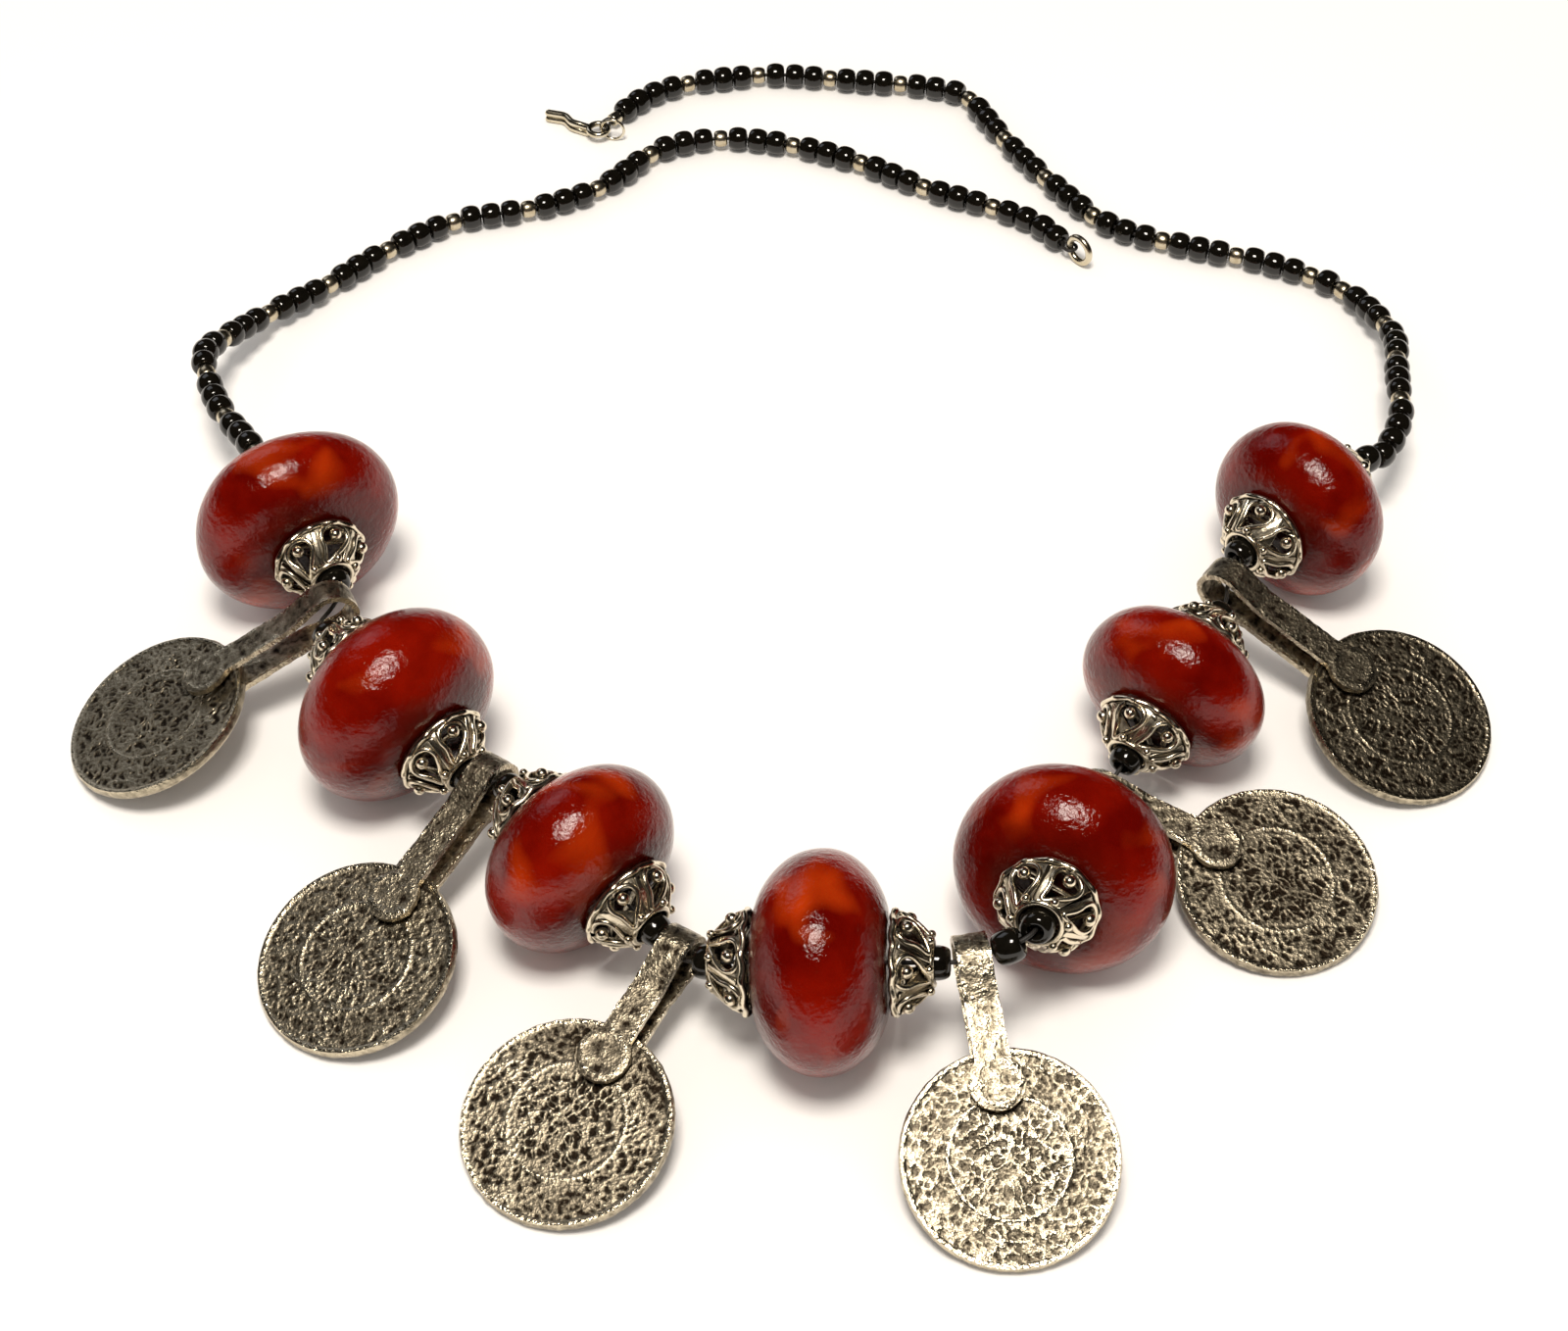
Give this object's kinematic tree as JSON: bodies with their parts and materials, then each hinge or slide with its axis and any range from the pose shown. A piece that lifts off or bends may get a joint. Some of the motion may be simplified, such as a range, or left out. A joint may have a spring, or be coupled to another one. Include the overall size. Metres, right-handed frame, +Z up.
{
  "type": "amber necklace",
  "caption": "Folk necklace of large amber beads with pierced silver caps and coin drops on riveted straps, on strands of black glass beads with a wire hook and ring",
  "frame": {"origin": "On the surface, under the middle of the necklace's outline", "axes": "+Z up from the surface, +Y from the coin drops to the clasp, +X to the right seen from the drops' side"},
  "size_m": [0.2058, 0.2509, 0.0309],
  "materials": {
    "amber_resin": "polished",
    "cast_silver": "oxidised cast silver",
    "coin_silver": "worn and oxidised",
    "strap_metal": "hammered, tarnished",
    "black_glass": "glossy glass",
    "bead_metal": "bright",
    "fitting_wire": "dull, pale",
    "thread": "waxed"
  },
  "bodies": {
    "root": {"amber_bead_1": "amber_resin", "amber_bead_2": "amber_resin", "amber_bead_3": "amber_resin", "amber_bead_4": "amber_resin", "amber_bead_5": "amber_resin", "amber_bead_6": "amber_resin", "amber_bead_7": "amber_resin", "bead_cap_1_left": "cast_silver", "bead_cap_1_right": "cast_silver", "bead_cap_2_left": "cast_silver", "bead_cap_2_right": "cast_silver", "bead_cap_3_left": "cast_silver", "bead_cap_3_right": "cast_silver", "bead_cap_4_left": "cast_silver", "bead_cap_4_right": "cast_silver", "bead_cap_5_left": "cast_silver", "bead_cap_5_right": "cast_silver", "bead_cap_6_left": "cast_silver", "bead_cap_6_right": "cast_silver", "bead_cap_7_left": "cast_silver", "bead_cap_7_right": "cast_silver", "coin_1": "coin_silver", "coin_2": "coin_silver", "coin_3": "coin_silver", "coin_4": "coin_silver", "coin_5": "coin_silver", "coin_6": "coin_silver", "strap_1": "strap_metal", "strap_2": "strap_metal", "strap_3": "strap_metal", "strap_4": "strap_metal", "strap_5": "strap_metal", "strap_6": "strap_metal", "rivet_1": "strap_metal", "rivet_2": "strap_metal", "rivet_3": "strap_metal", "rivet_4": "strap_metal", "rivet_5": "strap_metal", "rivet_6": "strap_metal", "spacer_beads": "black_glass", "black_beads_left": "black_glass", "black_beads_right": "black_glass", "metal_beads_left": "bead_metal", "metal_beads_right": "bead_metal", "jump_ring": "bead_metal", "crimp": "bead_metal", "hook": "fitting_wire", "end_ring": "fitting_wire", "thread": "thread"}
  },
  "joints": []
}
